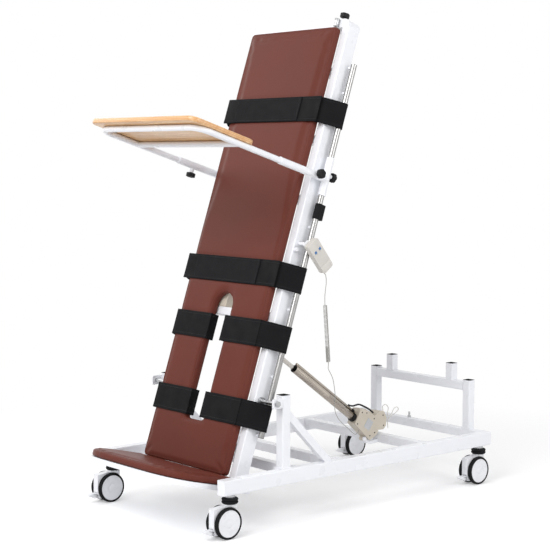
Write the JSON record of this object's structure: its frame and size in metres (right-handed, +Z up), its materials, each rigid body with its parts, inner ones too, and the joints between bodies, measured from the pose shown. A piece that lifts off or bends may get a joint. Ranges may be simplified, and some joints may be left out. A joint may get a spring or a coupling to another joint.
{
  "type": "physiotherapy tilt table",
  "caption": "Electric tilt table on a wheeled base: padded bed with straps, footplate, sliding tray and hand control, lifted by an actuator.",
  "frame": {"origin": "on the floor, under the middle of the whole table's length and width", "axes": "+X to the side that carries the hand control, +Y from the foot end to the rear end of the base, +Z up"},
  "size_m": [0.871, 1.7442, 2.0779],
  "materials": {
    "white_paint": "satin powder coat on welded steel tube",
    "white_plastic": "smooth moulded nylon",
    "tyre_rubber": "matte solid rubber tread",
    "black_rubber": "matte moulded rubber",
    "dark_plastic": "fine-grained moulded plastic",
    "bright_steel": "ground bright steel",
    "satin_steel": "satin drawn steel tube",
    "chrome": "polished chrome plate",
    "brown_vinyl": "soft-grained upholstery leatherette over foam",
    "black_webbing": "woven webbing with smooth joining panels",
    "blue_plastic": "smooth push buttons",
    "grey_plastic": "light grey moulded plastic and cord sheath",
    "beige_plastic": "beige cast housing with a fine grain",
    "label_plastic": "bare satin plate",
    "beech": "varnished beech ply"
  },
  "bodies": {
    "base": {"base_rails": "white_paint", "base_crossmembers": "white_paint", "uprights": "white_paint", "upright_braces": "white_paint", "tilt_ears": "white_paint", "post_caps": "dark_plastic", "rear_frame": "white_paint", "lift_bracket": "white_paint", "rear_stud": "bright_steel", "caster_stems": "bright_steel", "caster_collars": "black_rubber"},
    "bed": {"bed_side_rails": "white_paint", "bed_crossmembers": "white_paint", "bed_pad": "brown_vinyl", "tilt_pins": "bright_steel", "footplate": "white_paint", "foot_pad": "brown_vinyl", "chrome_tubes": "chrome", "bed_brackets": "white_paint", "straps_long": "black_webbing", "straps_leg": "black_webbing", "control_box": "beige_plastic", "knob_socket": "bright_steel", "tube_stop": "black_rubber", "handset_case": "grey_plastic", "handset_hook": "white_paint", "cord_upper": "grey_plastic", "cord_coil": "grey_plastic"},
    "socket_knob_body": {"socket_knob": "dark_plastic"},
    "button_up_body": {"handset_button_up": "blue_plastic"},
    "button_down_body": {"handset_button_down": "blue_plastic"},
    "actuator": {"lift_housing": "beige_plastic", "lift_tubes": "satin_steel", "lift_trim": "label_plastic", "lift_cables": "dark_plastic", "cord_lower": "grey_plastic"},
    "rod": {"lift_rod": "bright_steel"},
    "tray_slider": {"tray_arms": "white_paint"},
    "tray": {"tray_frame": "white_paint", "tray_board": "beech"},
    "sleeve_knob_near_body": {"sleeve_knob_near": "dark_plastic"},
    "sleeve_knob_far_body": {"sleeve_knob_far": "dark_plastic"},
    "arm_knob_near_body": {"arm_knob_near": "dark_plastic"},
    "arm_knob_far_body": {"arm_knob_far": "dark_plastic"},
    "caster_1": {"caster_hood_1": "white_plastic"},
    "wheels_1": {"caster_tyres_1": "tyre_rubber", "caster_discs_1": "white_plastic"},
    "pedal_1": {"caster_pedal_1": "white_plastic"},
    "caster_2": {"caster_hood_2": "white_plastic"},
    "wheels_2": {"caster_tyres_2": "tyre_rubber", "caster_discs_2": "white_plastic"},
    "pedal_2": {"caster_pedal_2": "white_plastic"},
    "caster_3": {"caster_hood_3": "white_plastic"},
    "wheels_3": {"caster_tyres_3": "tyre_rubber", "caster_discs_3": "white_plastic"},
    "pedal_3": {"caster_pedal_3": "white_plastic"},
    "caster_4": {"caster_hood_4": "white_plastic"},
    "wheels_4": {"caster_tyres_4": "tyre_rubber", "caster_discs_4": "white_plastic"},
    "pedal_4": {"caster_pedal_4": "white_plastic"}
  },
  "joints": [
    {"name": "tilt", "type": "hinge", "parent": "base", "child": "bed", "pos_m": [0, -0.40737, 0.497], "axis": [1, 0, 0], "range_deg": [-71.44, 8.56], "deforming": ["cord_lower"]},
    {"name": "actuator_swing", "type": "hinge", "parent": "base", "child": "actuator", "pos_m": [0.1, 0.36613, 0.214], "axis": [1, 0, 0], "range_deg": [-2.2, 14.6]},
    {"name": "rod_stroke", "type": "slide", "parent": "actuator", "child": "rod", "axis": [0, -0.8109, 0.5852], "range_m": [-0.2875, 0.0355]},
    {"name": "tray_height", "type": "slide", "parent": "bed", "child": "tray_slider", "axis": [0, 0.3183, 0.948], "range_m": [-0.03, 0.115]},
    {"name": "tray_reach", "type": "slide", "parent": "tray_slider", "child": "tray", "axis": [0, -0.956, 0.2934], "range_m": [-0.13, 0.06]},
    {"name": "swivel_1", "type": "hinge", "parent": "base", "child": "caster_1", "pos_m": [0.3985, -0.63987, 0.13], "axis": [0, 0, 1], "continuous": true},
    {"name": "roll_1", "type": "hinge", "parent": "caster_1", "child": "wheels_1", "pos_m": [0.3985, -0.66987, 0.0625], "axis": [1, 0, 0], "continuous": true},
    {"name": "brake_1", "type": "hinge", "parent": "caster_1", "child": "pedal_1", "pos_m": [0.3985, -0.72387, 0.034], "axis": [1, 0, 0], "range_deg": [0, 12]},
    {"name": "swivel_2", "type": "hinge", "parent": "base", "child": "caster_2", "pos_m": [-0.3985, -0.63987, 0.13], "axis": [0, 0, 1], "continuous": true},
    {"name": "roll_2", "type": "hinge", "parent": "caster_2", "child": "wheels_2", "pos_m": [-0.3985, -0.66987, 0.0625], "axis": [1, 0, 0], "continuous": true},
    {"name": "brake_2", "type": "hinge", "parent": "caster_2", "child": "pedal_2", "pos_m": [-0.3985, -0.72387, 0.034], "axis": [1, 0, 0], "range_deg": [0, 12]},
    {"name": "swivel_3", "type": "hinge", "parent": "base", "child": "caster_3", "pos_m": [0.3985, 0.81213, 0.13], "axis": [0, 0, 1], "continuous": true},
    {"name": "roll_3", "type": "hinge", "parent": "caster_3", "child": "wheels_3", "pos_m": [0.3985, 0.78213, 0.0625], "axis": [1, 0, 0], "continuous": true},
    {"name": "brake_3", "type": "hinge", "parent": "caster_3", "child": "pedal_3", "pos_m": [0.3985, 0.72813, 0.034], "axis": [1, 0, 0], "range_deg": [0, 12]},
    {"name": "swivel_4", "type": "hinge", "parent": "base", "child": "caster_4", "pos_m": [-0.3985, 0.81213, 0.13], "axis": [0, 0, 1], "continuous": true},
    {"name": "roll_4", "type": "hinge", "parent": "caster_4", "child": "wheels_4", "pos_m": [-0.3985, 0.78213, 0.0625], "axis": [1, 0, 0], "continuous": true},
    {"name": "brake_4", "type": "hinge", "parent": "caster_4", "child": "pedal_4", "pos_m": [-0.3985, 0.72813, 0.034], "axis": [1, 0, 0], "range_deg": [0, 12]},
    {"name": "socket_knob_turn", "type": "hinge", "parent": "bed", "child": "socket_knob_body", "pos_m": [0.24, 0.10625, 2.0503], "axis": [0, 0.3183, 0.948], "range_deg": [-720, 720]},
    {"name": "button_up_press", "type": "slide", "parent": "bed", "child": "button_up_body", "axis": [-1, 0, 0], "range_m": [0, 0.001], "stiffness_N_per_m": 900},
    {"name": "button_down_press", "type": "slide", "parent": "bed", "child": "button_down_body", "axis": [-1, 0, 0], "range_m": [0, 0.001], "stiffness_N_per_m": 900},
    {"name": "sleeve_knob_near_turn", "type": "hinge", "parent": "tray_slider", "child": "sleeve_knob_near_body", "pos_m": [0.335, -0.04635, 1.38845], "axis": [0, 0.948, -0.3183], "range_deg": [-720, 720]},
    {"name": "sleeve_knob_far_turn", "type": "hinge", "parent": "tray_slider", "child": "sleeve_knob_far_body", "pos_m": [-0.335, -0.04635, 1.38845], "axis": [0, 0.948, -0.3183], "range_deg": [-720, 720]},
    {"name": "arm_knob_near_turn", "type": "hinge", "parent": "tray_slider", "child": "arm_knob_near_body", "pos_m": [0.365, -0.13657, 1.4061], "axis": [1, 0, 0], "range_deg": [-720, 720]},
    {"name": "arm_knob_far_turn", "type": "hinge", "parent": "tray_slider", "child": "arm_knob_far_body", "pos_m": [-0.335, -0.26449, 1.39829], "axis": [0, -0.2934, -0.956], "range_deg": [-720, 720]}
  ],
  "couplings": [
    {"joint": "actuator_swing", "follows": "tilt", "ratio": -0.19908},
    {"joint": "rod_stroke", "follows": "tilt", "m_per_rad": 0.22877}
  ]
}
